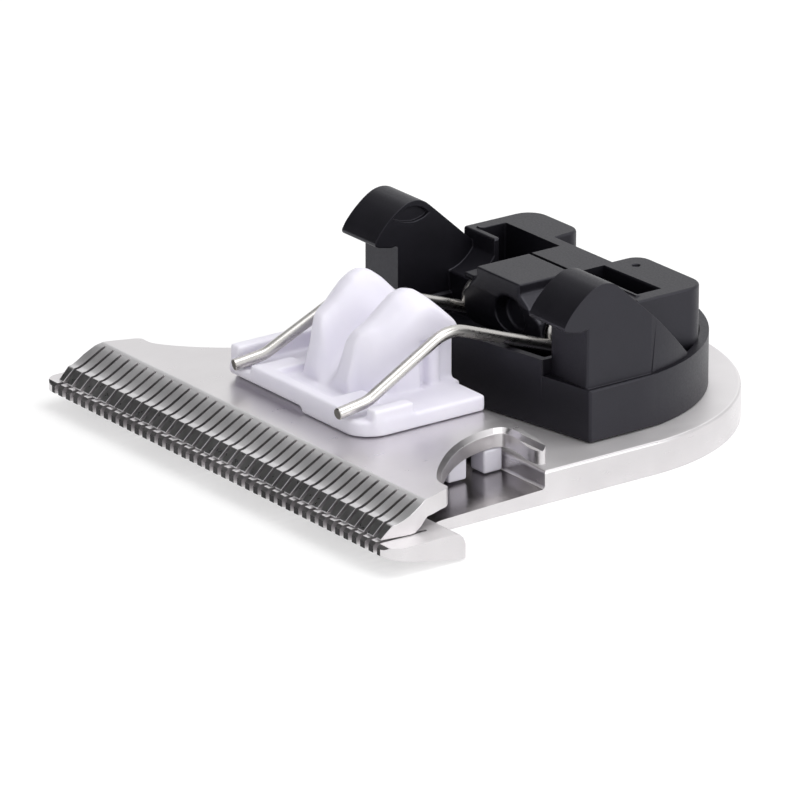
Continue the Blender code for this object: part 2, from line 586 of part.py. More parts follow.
def build_screws():
    for side, label in ((-1, "left"), (1, "right")):
        place = (side * SCREW_X, SCREW_Y)
        head = rod(SCREW_HEAD_RADIUS, (*place, 0.05), (*place, SCREW_HEAD_HEIGHT), 24, SCREW_RADIUS)
        shank = rod(SCREW_RADIUS - 0.02, (*place, 0.6), (*place, SCREW_TIP_Z), 16)
        combine(head, [shank], "UNION")
        slots = [box((place[0] - 1.0, place[1] - 0.2, -1), (place[0] + 1.0, place[1] + 0.2, 0.55)),
                 box((place[0] - 0.2, place[1] - 1.0, -1), (place[0] + 0.2, place[1] + 1.0, 0.55))]
        combine(head, slots, "DIFFERENCE")
        finish(head, "bracket_screw_" + label, SCREW_STEEL, (*place, 0))


def main():
    clear_scene()
    build_fixed_blade()
    build_moving_blade()
    build_follower()
    build_rivets()
    build_feet()
    build_spring()
    build_spring_holder()
    build_bracket()
    build_screws()


main()
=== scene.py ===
"""Looks of a detachable clipper blade head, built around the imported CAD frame.

Shapes are drawn in millimetres in the frame's own axes: X along the teeth, -Y to the cutting edge,
+Z up. settle() turns each one into metres, gives it its materials and puts it on its CAD body.
"""
import math

import bmesh
import bpy
import numpy as np
from mathutils import Matrix, Vector


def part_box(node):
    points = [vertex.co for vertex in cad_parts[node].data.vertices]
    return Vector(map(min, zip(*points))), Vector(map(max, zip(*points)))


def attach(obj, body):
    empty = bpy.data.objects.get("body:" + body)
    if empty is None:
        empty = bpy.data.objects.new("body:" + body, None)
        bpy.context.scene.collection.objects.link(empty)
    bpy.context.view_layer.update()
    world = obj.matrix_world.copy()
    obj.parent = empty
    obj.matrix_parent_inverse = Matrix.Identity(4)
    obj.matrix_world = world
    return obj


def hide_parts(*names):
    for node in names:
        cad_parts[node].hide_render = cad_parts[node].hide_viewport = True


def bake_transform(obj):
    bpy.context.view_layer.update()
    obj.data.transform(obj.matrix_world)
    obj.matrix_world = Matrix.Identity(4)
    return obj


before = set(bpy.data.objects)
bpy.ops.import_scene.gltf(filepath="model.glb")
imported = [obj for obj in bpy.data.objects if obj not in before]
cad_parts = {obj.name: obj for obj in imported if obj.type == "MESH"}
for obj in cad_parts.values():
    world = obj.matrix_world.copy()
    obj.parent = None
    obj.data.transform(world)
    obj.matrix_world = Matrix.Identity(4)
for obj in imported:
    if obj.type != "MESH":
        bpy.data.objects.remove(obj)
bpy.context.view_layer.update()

MM = 0.001
BASE = "base"
CUTTER = "cutter"


def node_box(name):
    """Lowest and highest corner of a CAD node, in millimetres."""
    low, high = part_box(name)
    return low / MM, high / MM


# ---------------------------------------------------------------- mesh helpers, in millimetres

def mesh_object(bm, name="tool"):
    bmesh.ops.recalc_face_normals(bm, faces=bm.faces)
    mesh = bpy.data.meshes.new(name)
    bm.to_mesh(mesh)
    bm.free()
    obj = bpy.data.objects.new(name, mesh)
    bpy.context.scene.collection.objects.link(obj)
    return obj


def prism(outline, low, high, axis="Z"):
    """Extrude a closed outline between two planes. The outline is (x, y), (y, z) or (x, z)."""
    place = {"Z": lambda a, b, c: (a, b, c),
             "X": lambda a, b, c: (c, a, b),
             "Y": lambda a, b, c: (a, c, b)}[axis]
    bm = bmesh.new()
    rings = [[bm.verts.new(place(a, b, level)) for a, b in outline] for level in (low, high)]
    bm.faces.new(rings[0])
    bm.faces.new(list(reversed(rings[1])))
    count = len(outline)
    for i in range(count):
        j = (i + 1) % count
        bm.faces.new((rings[0][i], rings[1][i], rings[1][j], rings[0][j]))
    return mesh_object(bm)


def box(low, high):
    return prism([(low[0], low[1]), (high[0], low[1]), (high[0], high[1]), (low[0], high[1])],
                 low[2], high[2])


def rod(radius, start, end, sides=32, end_radius=None):
    start, end = Vector(start), Vector(end)
    span = end - start
    bm = bmesh.new()
    bmesh.ops.create_cone(bm, cap_ends=True, segments=sides, radius1=radius,
                          radius2=radius if end_radius is None else end_radius, depth=span.length)
    turn = Vector((0, 0, 1)).rotation_difference(span).to_matrix().to_4x4()
    bm.transform(Matrix.Translation((start + end) / 2) @ turn)
    return mesh_object(bm)


def modified(obj, kind, **settings):
    """Apply one modifier to obj's mesh."""
    modifier = obj.modifiers.new("shape", kind)
    for key, value in settings.items():
        setattr(modifier, key, value)
    graph = bpy.context.evaluated_depsgraph_get()
    result = bpy.data.meshes.new_from_object(obj.evaluated_get(graph))
    obj.modifiers.clear()
    obj.data = result
    return obj


def combine(base, tools, operation):
    for tool in tools:
        modified(base, "BOOLEAN", operation=operation, solver="EXACT", object=tool)
        bpy.data.objects.remove(tool, do_unlink=True)
    return base


def mirrored(obj):
    bm = bmesh.new()
    bm.from_mesh(obj.data)
    bm.transform(Matrix.Scale(-1, 4, (1, 0, 0)))
    bmesh.ops.reverse_faces(bm, faces=bm.faces)
    return mesh_object(bm)


def arc(centre, radius, start, end, steps):
    angles = np.radians(np.linspace(start, end, steps + 1))
    return [(centre[0] + radius * math.cos(a), centre[1] + radius * math.sin(a)) for a in angles]


def both_sides(right_half):
    return right_half + [(-x, y) for x, y in reversed(right_half) if abs(x) > 1e-6]


def ease(t):
    return t * t * (3 - 2 * t)


def smooth_line(points, steps=6):
    """Catmull-Rom curve through 2-D points, ends included."""
    padded = [points[0]] + list(points) + [points[-1]]
    line = [points[0]]
    for a, b, c, d in zip(padded, padded[1:], padded[2:], padded[3:]):
        for step in range(1, steps + 1):
            t = step / steps
            line.append(tuple(0.5 * (2 * b[i] + (c[i] - a[i]) * t
                                     + (2 * a[i] - 5 * b[i] + 4 * c[i] - d[i]) * t * t
                                     + (3 * b[i] - a[i] - 3 * c[i] + d[i]) * t ** 3) for i in (0, 1)))
    return line


def loft(rings):
    """Closed body through rings of equal length."""
    bm = bmesh.new()
    rows = [[bm.verts.new(point) for point in ring] for ring in rings]
    count = len(rows[0])
    for one, two in zip(rows, rows[1:]):
        for i in range(count):
            j = (i + 1) % count
            bm.faces.new((one[i], one[j], two[j], two[i]))
    bm.faces.new(list(reversed(rows[0])))
    bm.faces.new(rows[-1])
    return mesh_object(bm)


def tidied(obj, merge=0.002):
    """Merge doubled points and flat neighbours that the Booleans leave."""
    bm = bmesh.new()
    bm.from_mesh(obj.data)
    bmesh.ops.remove_doubles(bm, verts=bm.verts, dist=merge)
    bmesh.ops.dissolve_limit(bm, angle_limit=math.radians(0.6), verts=bm.verts, edges=bm.edges)
    bm.to_mesh(obj.data)
    bm.free()
    return obj


def turn_between(vert, one, two):
    """How far the line bends where two edges meet, in radians."""
    return math.pi - (one.other_vert(vert).co - vert.co).angle(two.other_vert(vert).co - vert.co, 0.0)


def room_for_rounding(vert, sharp):
    """The widest rounding that the faces around a point leave room for."""
    rounded = [edge for edge in vert.link_edges if edge in sharp]
    room = min([0.42 * edge.calc_length() for edge in vert.link_edges if edge not in sharp],
               default=9.0)
    if len(rounded) == 2:
        turn = turn_between(vert, *rounded)
        if turn < 0.9:
            return min(room, 0.6 * min(edge.calc_length() for edge in rounded) / max(turn, 0.02))
    return min([room] + [0.42 * edge.calc_length() for edge in rounded])


def edged(obj, width, segments=2, angle=28, share=None):
    """Round every edge sharper than angle. share(middle) scales the width; 0 leaves an edge sharp.

    Edges that run on into each other get one common width, as narrow as the tightest place needs.
    """
    bm = bmesh.new()
    bm.from_mesh(obj.data)
    bm.normal_update()
    weights = bm.edges.layers.float.new("bevel_weight_edge")
    limit = math.radians(angle)
    wanted = {}
    for edge in bm.edges:
        if len(edge.link_faces) == 2 and edge.calc_face_angle(0) > limit:
            scale = 1.0 if share is None else share((edge.verts[0].co + edge.verts[1].co) / 2)
            if scale > 0:
                wanted[edge] = scale
    left = set(wanted)
    while left:
        run, queue = [], [left.pop()]
        while queue:
            edge = queue.pop()
            run.append(edge)
            for vert in edge.verts:
                for other in [e for e in vert.link_edges if e in left]:
                    if turn_between(vert, edge, other) < 0.45:
                        left.discard(other)
                        queue.append(other)
        room = min(room_for_rounding(vert, wanted) for edge in run for vert in edge.verts)
        for edge in run:
            edge[weights] = min([room / width] + [wanted[e] for e in run])
    bm.to_mesh(obj.data)
    bm.free()
    modified(obj, "BEVEL", width=width, segments=segments, limit_method="WEIGHT",
             use_clamp_overlap=False, miter_outer="MITER_SHARP")
    obj.data.shade_smooth()
    obj.data.set_sharp_from_angle(angle=math.radians(36))
    return modified(obj, "WEIGHTED_NORMAL", mode="FACE_AREA", weight=90, keep_sharp=True)


def dressed(obj, name, materials, shift=0.0, choose=None):
    """Scale to metres, name the piece and give it its materials, which choose() picks per face."""
    obj.data.transform(Matrix.Scale(MM, 4) @ Matrix.Translation((shift, 0, 0)))
    obj.name = name
    obj.data.name = name
    obj.data.materials.clear()
    for item in materials:
        obj.data.materials.append(item)
    for face in obj.data.polygons:
        face.material_index = choose(face.center / MM, face.normal) if choose else 0
    return obj


def settle(obj, name, materials, body, replaces, shift=0.0, choose=None):
    """Dress a rigid piece and tie it to its CAD body."""
    dressed(obj, name, materials, shift, choose)
    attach(obj, body)
    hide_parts(*replaces)
    return obj


# ---------------------------------------------------------------- materials

class Nodes:
    """A short way to write a material's node tree."""

    def __init__(self, name):
        self.material = bpy.data.materials.new(name)
        self.material.use_nodes = True
        self.tree = self.material.node_tree
        self.shader = self.tree.nodes["Principled BSDF"]
        coordinates = self.tree.nodes.new("ShaderNodeTexCoord")
        self.position = coordinates.outputs["Object"]

    def link(self, source, target):
        self.tree.links.new(source, target)

    def stretched(self, scale):
        """The position in millimetres, times scale along each axis."""
        node = self.tree.nodes.new("ShaderNodeMapping")
        node.inputs["Scale"].default_value = [s / MM for s in scale]
        self.link(self.position, node.inputs["Vector"])
        return node.outputs["Vector"]

    def noise(self, scale, detail=3.0, roughness=0.55):
        node = self.tree.nodes.new("ShaderNodeTexNoise")
        node.inputs["Scale"].default_value = 1.0
        node.inputs["Detail"].default_value = detail
        node.inputs["Roughness"].default_value = roughness
        self.link(self.stretched(scale), node.inputs["Vector"])
        return node.outputs["Fac"]

    def spread(self, value, low, high, source_low=0.3, source_high=0.7):
        node = self.tree.nodes.new("ShaderNodeMapRange")
        node.inputs["From Min"].default_value = source_low
        node.inputs["From Max"].default_value = source_high
        node.inputs["To Min"].default_value = low
        node.inputs["To Max"].default_value = high
        self.link(value, node.inputs["Value"])
        return node.outputs["Result"]

    def mixed(self, factor, first, second):
        node = self.tree.nodes.new("ShaderNodeMix")
        node.data_type = "RGBA"
        node.inputs["A"].default_value = (*first, 1.0)
        node.inputs["B"].default_value = (*second, 1.0)
        self.link(factor, node.inputs["Factor"])
        return node.outputs["Result"]

    def bump(self, height, depth, strength=1.0, under=None):
        node = self.tree.nodes.new("ShaderNodeBump")
        node.inputs["Distance"].default_value = depth * MM
        node.inputs["Strength"].default_value = strength
        self.link(height, node.inputs["Height"])
        if under is not None:
            self.link(under, node.inputs["Normal"])
        return node.outputs["Normal"]


def steel(name, dark, light, smooth, rough, grain, grain_depth, speck_depth=0.0):
    """Ground or polished steel. grain is the scale of the grinding marks along X, Y and Z."""
    n = Nodes(name)
    marks = n.noise(grain, 4.0, 0.6)
    cloud = n.noise((0.16, 0.16, 0.16), 2.0)
    n.link(n.mixed(n.spread(cloud, 0.0, 1.0), dark, light), n.shader.inputs["Base Color"])
    n.link(n.spread(marks, smooth, rough), n.shader.inputs["Roughness"])
    surface = n.bump(marks, grain_depth)
    if speck_depth:
        surface = n.bump(n.noise((7.0, 7.0, 7.0), 3.0), speck_depth, 1.0, surface)
    n.link(surface, n.shader.inputs["Normal"])
    n.shader.inputs["Metallic"].default_value = 1.0
    return n.material


def set_value(material, name, value):
    """Set one uniform value on a material's shader."""
    material.node_tree.nodes["Principled BSDF"].inputs[name].default_value = value


def moulded(name, dark, light, smooth, rough, wave_depth, grain_depth, specular=0.5, glow=0.0):
    """Injection-moulded plastic: slight waves, fine texture and an uneven gloss."""
    n = Nodes(name)
    waves = n.noise((0.35, 0.35, 0.35), 2.0)
    grain = n.noise((6.0, 6.0, 6.0), 3.0, 0.65)
    n.link(n.mixed(n.spread(waves, 0.0, 1.0), dark, light), n.shader.inputs["Base Color"])
    n.link(n.spread(grain, smooth, rough), n.shader.inputs["Roughness"])
    n.link(n.bump(grain, grain_depth, 1.0, n.bump(waves, wave_depth)), n.shader.inputs["Normal"])
    n.shader.inputs["Specular IOR Level"].default_value = specular
    if glow:
        n.shader.inputs["Subsurface Weight"].default_value = glow
        n.shader.inputs["Subsurface Radius"].default_value = (1.0, 0.95, 1.0)
        n.shader.inputs["Subsurface Scale"].default_value = 0.7 * MM
    return n.material


satin_top = steel("satin_steel", (0.72, 0.70, 0.71), (0.77, 0.75, 0.76), 0.27, 0.34,
                  (1.6, 0.35, 1.6), 0.0004)
ground_ramp = steel("ground_steel", (0.66, 0.65, 0.66), (0.76, 0.75, 0.76), 0.30, 0.42,
                    (9.0, 1.1, 1.1), 0.004, 0.004)
# Darker steel for the moving teeth's front bevels: painted shade, standing in for the dark reflection
# these faces show.
shaded_bevel_steel = steel("shaded_bevel_steel", (0.50, 0.49, 0.50), (0.66, 0.65, 0.66), 0.26, 0.38,
                    (3.0, 3.0, 1.0), 0.002, 0.001)
plate_top = steel("plate_steel", (0.74, 0.72, 0.73), (0.80, 0.78, 0.79), 0.40, 0.50,
                  (1.6, 0.35, 1.6), 0.0004)
set_value(plate_top, "Metallic", 0.6)
bright_edge = steel("bright_steel", (0.62, 0.60, 0.61), (0.74, 0.72, 0.73), 0.28, 0.42,
                    (2.0, 2.0, 0.6), 0.0010)
# Recessed floor in front of the step, under the moving blade. The low roughness is its own; the darker
# colour is painted shade, standing in for the dark reflections in the polished floor.
shaded_mirror_floor = steel("polished_steel_painted_shade", (0.40, 0.385, 0.39), (0.50, 0.48, 0.485), 0.16, 0.26,
                     (0.8, 6.0, 0.8), 0.0010, 0.0008)
side_steel = steel("side_steel", (0.64, 0.62, 0.63), (0.74, 0.72, 0.73), 0.26, 0.38,
                   (0.5, 0.5, 6.0), 0.0016)
wire_steel = steel("wire_steel", (0.56, 0.545, 0.525), (0.66, 0.645, 0.625), 0.24, 0.34,
                   (4.0, 0.8, 4.0), 0.0020)
# Near-black steel for the fixed teeth's front faces: painted shade, standing in for the dark reflection
# these faces catch.
shaded_tooth_front = steel("shaded_tooth_front", (0.012, 0.011, 0.012), (0.05, 0.048, 0.05), 0.25, 0.40,
                    (3.0, 3.0, 3.0), 0.0020)
cut_steel = steel("cut_steel", (0.16, 0.15, 0.14), (0.34, 0.32, 0.30), 0.35, 0.60,
                  (5.0, 5.0, 5.0), 0.010)
screw_steel = steel("screw_steel", (0.42, 0.42, 0.43), (0.52, 0.52, 0.53), 0.25, 0.38,
                    (3.0, 3.0, 3.0), 0.0020)
black_plastic = moulded("black_plastic", (0.0030, 0.0026, 0.0044), (0.0054, 0.0048, 0.0074),
                        0.38, 0.50, 0.010, 0.0012, 0.50)
set_value(black_plastic, "Specular Tint", (0.88, 0.87, 1.0, 1.0))
white_plastic = moulded("white_plastic", (0.79, 0.77, 0.86), (0.83, 0.81, 0.89),
                        0.38, 0.50, 0.010, 0.0020, 0.45, 0.35)


# ---------------------------------------------------------------- sizes read from the frame

FIXED_LOW, FIXED_HIGH = node_box("fixed_blade")
MOVING_LOW, MOVING_HIGH = node_box("moving_blade")
BRACKET_LOW = node_box("bracket")[0]
FOLLOWER_LOW = node_box("drive_follower")[0]
HOLDER_LOW = node_box("spring_holder")[0]

CUTTER_X = (MOVING_LOW.x + MOVING_HIGH.x) / 2
TIP_Y = FIXED_LOW.y
REAR_Y = FIXED_HIGH.y
PLATE_TOP = FIXED_HIGH.z
WING_X = FIXED_HIGH.x
HALF_PLATE = 16.5
ARC_Y = REAR_Y - HALF_PLATE
WING_REAR_Y = -15.25
CONTACT_Z = 2.15
STEP_Y = -4.5
FLOOR_REAR_Z = 1.15
FLOOR_FRONT_Z = 0.85
FIXED_SLOTS = 41
FIXED_PITCH = 1.0
FIXED_ROOT_Y = -17.6
SCREW_HOLE_R = 1.25
SCREW_SINK_R = 2.5


def comb_cutters(count, pitch, width, mouth_width, root_y, mouth_y, flare, low_z, high_z):
    """A row of slot cutters with round roots and flared mouths, as one object."""
    bm = bmesh.new()
    half = width / 2
    root = [(x, root_y - half + y) for x, y in arc((0, 0), half, 180, 0, 5)]
    shape = ([(-mouth_width / 2, mouth_y - 1), (-mouth_width / 2, mouth_y - 0.02),
              (-half - 0.02, mouth_y + flare)] + root
             + [(half + 0.02, mouth_y + flare), (mouth_width / 2, mouth_y - 0.02),
                (mouth_width / 2, mouth_y - 1)])
    for index in range(count):
        x = (index - (count - 1) / 2) * pitch
        rings = [[bm.verts.new((x + px, py, z)) for px, py in shape] for z in (low_z, high_z)]
        bm.faces.new(rings[0])
        bm.faces.new(rings[1])
        for a in range(len(shape)):
            b = (a + 1) % len(shape)
            bm.faces.new((rings[0][a], rings[0][b], rings[1][b], rings[1][a]))
    return mesh_object(bm)


# ---------------------------------------------------------------- fixed blade

def fixed_blade():
    wing_nose = arc((WING_X - 1.3, TIP_Y + 1.3), 1.3, -90, 0, 10)
    wing_rear = arc((WING_X - 0.7, WING_REAR_Y - 0.7), 0.7, 0, 90, 6)
    waist = arc((HALF_PLATE + 1.6, WING_REAR_Y + 1.6), 1.6, 270, 180, 8)
    rear = arc((0, ARC_Y), HALF_PLATE, 0, 90, 40)
    plan = both_sides(wing_nose + wing_rear + waist + rear)
    grind_start = -14.4
    grind_end_z = CONTACT_Z - 0.75
    span = grind_start - TIP_Y
    underside = [(grind_start - span * t, grind_end_z * t ** 1.35) for t in np.linspace(0, 1, 15)]
    fillet = arc((STEP_Y - 0.25, FLOOR_REAR_Z + 0.26), 0.26, 270, 360, 4)
    tooth_bar = [(TIP_Y, CONTACT_Z - 0.25), (TIP_Y + 0.25, CONTACT_Z), (-16.45, CONTACT_Z),
                 (-16.1, CONTACT_Z - 0.12), (-15.8, CONTACT_Z - 0.4)]
    floor_front = [(-15.5, FLOOR_FRONT_Z + 0.35), (-15.25, FLOOR_FRONT_Z + 0.08),
                   (-14.9, FLOOR_FRONT_Z)]
    profile = ([(REAR_Y + 1, 0.0)] + underside + tooth_bar + floor_front + fillet
               + [(STEP_Y, PLATE_TOP), (REAR_Y + 1, PLATE_TOP)])
    blade = prism(profile, -WING_X - 1, WING_X + 1, "X")
    combine(blade, [prism(plan, -1, 4)], "INTERSECT")
    for side in (-1, 1):
        low, high = node_box("bracket_screw_" + ("left" if side < 0 else "right"))
        x, y = (low.x + high.x) / 2, (low.y + high.y) / 2
        sink = rod(SCREW_SINK_R, (x, y, -0.2), (x, y, 1.22), 40, SCREW_HOLE_R - 0.05)
        hole = rod(SCREW_HOLE_R, (x, y, -1), (x, y, 4), 32)
        combine(blade, [hole, sink], "DIFFERENCE")

    slots = comb_cutters(FIXED_SLOTS, FIXED_PITCH, 0.30, 0.44, FIXED_ROOT_Y, TIP_Y, 0.75, -1, 4)
    combine(blade, [slots], "DIFFERENCE")

    def share(p):
        if p.y < -17.2 and abs(p.x) < 20.6:
            return 0.0
        return 0.5 if p.y < WING_REAR_Y - 0.2 or p.z < 0.3 else 1.0
    edged(tidied(blade), 0.25, 3, share=share)
    materials = [plate_top, shaded_mirror_floor, side_steel, shaded_tooth_front]

    def choose(centre, normal):
        # The recessed floor in front of the step gets the darker polished steel of painted shade.
        on_floor = normal.z > 0.9 and FLOOR_FRONT_Z - 0.1 < centre.z < FLOOR_REAR_Z + 0.1
        if on_floor and centre.y < STEP_Y:
            return materials.index(shaded_mirror_floor)
        # The fixed teeth's front faces get the near-black steel of painted shade.
        if centre.y < TIP_Y + 0.3 and normal.y < -0.8 and abs(centre.x) < 20.7:
            return materials.index(shaded_tooth_front)
        if abs(normal.z) < 0.75:
            return materials.index(side_steel)
        return materials.index(plate_top)
    return settle(blade, "fixed_comb_blade", materials, BASE, ["fixed_blade"],
                  choose=choose)


# ---------------------------------------------------------------- moving blade

CUTTER_TIP_Y = MOVING_LOW.y
CUTTER_TOP = MOVING_HIGH.z
CUTTER_HALF = 20.3
CUTTER_SLOTS = 36
CUTTER_PITCH = 10 / 9
SLOT_ROOT_Y = -17.85
RAMP_LENGTH = 2.7
RAMP_DROP = 1.27
CHAMFER_WIDTH = 0.34
CHAMFER_DEPTH = 0.36


def widened(line, distance):
    """The line moved sideways, to the left of its own direction."""
    moved = []
    for before, here, after in zip([line[0]] + line[:-1], line, line[1:] + [line[-1]]):
        along = Vector(after) - Vector(before)
        out = Vector((-along.y, along.x)).normalized() * distance
        moved.append((here[0] + out.x, here[1] + out.y))
    return moved


def chamfer_cutter(lip, side):
    """What the chamfer along a notch takes off, running out past the blade's side."""
    beyond = 24.0
    levels = ((lip, CUTTER_TOP - CHAMFER_DEPTH), (widened(lip, CHAMFER_WIDTH), CUTTER_TOP + 0.02))
    return loft([[(side * x, y, z) for x, y in line + [(beyond, line[-1][1]), (beyond, line[0][1])]]
                 for line, z in levels])


def moving_blade():
    end = [(CUTTER_HALF - 0.1, CUTTER_TIP_Y), (CUTTER_HALF + 0.2, -19.2), (CUTTER_HALF + 0.1, -18.2)]
    end += smooth_line([(20.2, -17.7), (19.95, -16.8), (19.6, -15.9), (19.35, -15.2), (18.9, -14.75)], 4)
    notch = smooth_line([(18.3, -14.6), (17.5, -14.3), (15.9, -13.0), (14.1, -11.0), (12.85, -9.1),
                         (12.2, -7.5), (11.95, -6.3), (11.9, -5.35)], 5)
    arm = smooth_line([(12.1, -4.85), (12.6, -4.6), (14.0, -4.7), (15.3, -5.0), (16.3, -5.0),
                       (16.75, -4.65), (16.4, -4.2), (14.8, -3.95), (13.2, -3.8), (12.5, -3.7)], 4)
    plain_end = [(11.9, -4.2), (11.5, -3.7)]
    plan = end + notch + arm + [(-x, y) for x, y in reversed(end + notch + plain_end)]
    ramp = [(SLOT_ROOT_Y + 0.25 - RAMP_LENGTH * t, CUTTER_TOP - RAMP_DROP * (0.65 * t + 0.35 * ease(t)))
            for t in np.linspace(0, 1, 13)]
    under = CUTTER_TOP - 1.4
    contact = CONTACT_Z + 0.06
    profile = ([(-2.7, CUTTER_TOP)] + ramp
               + [(CUTTER_TIP_Y + 0.90, CUTTER_TOP - 1.30), (CUTTER_TIP_Y, contact + 0.12),
                  (CUTTER_TIP_Y, contact), (-18.7, contact), (-17.4, under), (-2.7, under)])
    blade = prism(profile, -CUTTER_HALF - 1, CUTTER_HALF + 1, "X")
    combine(blade, [prism(plan, 1, 6)], "INTERSECT")
    lip = notch[1:] + arm[:9]
    combine(blade, [chamfer_cutter(lip, side) for side in (-1, 1)], "DIFFERENCE")
    slots = comb_cutters(CUTTER_SLOTS, CUTTER_PITCH, 0.27, 0.36, SLOT_ROOT_Y, CUTTER_TIP_Y, 0.4, 1, 6)
    combine(blade, [slots], "DIFFERENCE")

    def share(p):
        if p.y < -17.3 and abs(p.x) < 19.9:
            return 0.1 if p.y < -20.5 else 0.0
        return 1.0 if p.z > 4 and p.y < -4.2 and abs(p.x) > 11.5 else 0.5
    edged(tidied(blade), 0.32, 3, share=share)
    materials = [satin_top, ground_ramp, bright_edge, shaded_bevel_steel]

    def choose(centre, normal):
        # The front bevels below the flats get the darker steel of painted shade.
        if centre.y < -20.65 and normal.y < -0.3 and abs(normal.x) < 0.4:
            return materials.index(shaded_bevel_steel)
        if centre.y < -17.4 and normal.z > 0.3 and centre.z < CUTTER_TOP - 0.03:
            return materials.index(ground_ramp)
        if abs(normal.z) < 0.6:
            return materials.index(bright_edge)
        return materials.index(satin_top)
    return settle(blade, "moving_comb_blade", materials, CUTTER, ["moving_blade"],
                  shift=CUTTER_X, choose=choose)


# ---------------------------------------------------------------- drive follower

# y, half width, crest x, crest z, shoulder z, groove z
EAR_STATIONS = [
    (-3.15, 4.60, 2.80, 10.15, 9.90, 9.50), (-3.95, 4.60, 2.80, 11.00, 10.60, 9.60),
    (-4.95, 4.60, 2.75, 12.00, 11.35, 9.75), (-5.90, 4.60, 2.70, 12.70, 11.80, 9.75),
    (-6.80, 4.60, 2.70, 12.95, 11.65, 9.60), (-7.70, 4.55, 2.65, 12.65, 11.00, 9.25),
    (-8.60, 4.35, 2.60, 11.90, 10.30, 8.80), (-9.40, 3.95, 2.50, 11.15, 9.95, 8.10),
    (-10.20, 3.45, 2.40, 10.60, 10.00, 7.30), (-10.75, 3.00, 2.25, 10.25, 9.90, 6.70),
    (-11.05, 2.80, 2.10, 9.70, 9.30, 6.40), (-11.30, 2.75, 2.00, 8.40, 8.10, 6.10),
    (-11.80, 2.80, 2.00, 6.60, 6.50, 5.70)]


def ear_ring(y, half, crest_x, crest, shoulder, groove):
    """Section across both ears at one station."""
    rise = crest - groove
    right = [(half + 0.25, 5.0), (half + 0.12, (shoulder + 5.0) / 2), (half, shoulder - 0.5),
             (half - 0.12, shoulder), ((half + crest_x) / 2 + 0.25, (shoulder + crest) / 2 + 0.12),
             (crest_x + 0.35, crest - 0.05), (crest_x, crest), (crest_x - 0.5, crest - 0.12),
             (crest_x * 0.62, groove + rise * 0.78), (crest_x * 0.42, groove + rise * 0.42),
             (crest_x * 0.20, groove + rise * 0.10), (0.0, groove)]
    return [(x, y, z) for x, z in right] + [(-x, y, z) for x, z in reversed(right[:-1])]


def follower():
    """The white block, merged from simple solids and softened like a moulding."""
    low = FOLLOWER_LOW.z
    front_y, rear_y = FOLLOWER_LOW.y, -3.55
    half = 8.5
    near = arc((half - 2.2, front_y + 2.2), 2.2, -90, 0, 10)
    rear = arc((half - 0.35, rear_y - 0.35), 0.35, 0, 90, 4)
    far = [(-x, y) for x, y in reversed(arc((half - 0.8, front_y + 0.8), 0.8, -90, 0, 6))]
    plan = near + rear + [(-x, y) for x, y in reversed(rear)] + far
    body = prism(plan, low, 5.7)
    slope = [(front_y - 1, 5.0), (front_y - 1, 6.3), (front_y + 0.9, 6.3), (front_y + 2.3, 5.6),
             (front_y + 2.3, 5.0)]
    rim = prism(plan, 5.0, 6.3)
    combine(rim, [prism(slope, -5.4, 5.4, "X")], "INTERSECT")
    ears = loft([ear_ring(*station) for station in EAR_STATIONS])
    combine(body, [rim, ears], "UNION")
    for side in (-1, 1):
        top, reach = (6.5, -9.95) if side > 0 else (7.05, -5.5)
        start = front_y + (1.2 if side > 0 else 0.35)
        outer_wall = box((side * 7.85 - 0.55, start, 5.2), (side * 7.85 + 0.55, reach, top))
        foot = box((side * 4.4 - 0.9, front_y + 0.6, 5.2), (side * 4.4 + 0.9, -11.0, 6.3))
        combine(body, [outer_wall, foot], "UNION")
        pocket = box((side * 4.6 - 0.75, -6.7, 5.7), (side * 4.6 + 0.75, -3.0, 9.3))
        combine(body, [pocket], "DIFFERENCE")
        rib = rod(0.62, (side * 4.0, -5.2, 5.2), (side * 4.0, -5.2, 9.6), 20)
        combine(body, [rib], "UNION")
    undercut = box((-9, -15.5, 4.0), (0.9, -13.9, 4.95))
    combine(body, [undercut], "DIFFERENCE")
    modified(body, "REMESH", mode="VOXEL", voxel_size=0.11, adaptivity=0.0)
    modified(body, "SMOOTH", factor=0.5, iterations=20)
    body.data.shade_smooth()
    return settle(body, "drive_follower_block", [white_plastic], CUTTER,
                  ["drive_follower"], shift=CUTTER_X)


def glide_feet():
    for row in ("front", "rear"):
        for side in ("left", "right"):
            node = f"glide_foot_{row}_{side}"
            low, high = node_box(node)
            grow = max(0.0, 0.825 - (high.y - low.y) / 2)
            foot = box((low.x, low.y - grow, low.z), (high.x, high.y + grow, MOVING_HIGH.z - 1.46))
            edged(foot, 0.18, 3)
            settle(foot, "foot_" + row + "_" + side, [white_plastic], CUTTER, [node])


# ---------------------------------------------------------------- torsion spring

WIRE_R = 0.45


def rounded_route(points, radii):
    """The polyline with each inner corner replaced by an arc-like curve of the given reach."""
    route = [Vector(points[0])]
    for before, here, after, reach in zip(points, points[1:], points[2:], radii):
        before, here, after = Vector(before), Vector(here), Vector(after)
        start = here + (before - here).normalized() * reach
        end = here + (after - here).normalized() * reach
        for step in range(9):
            t = step / 8
            route.append((1 - t) ** 2 * start + 2 * t * (1 - t) * here + t * t * end)
    route.append(Vector(points[-1]))
    return route


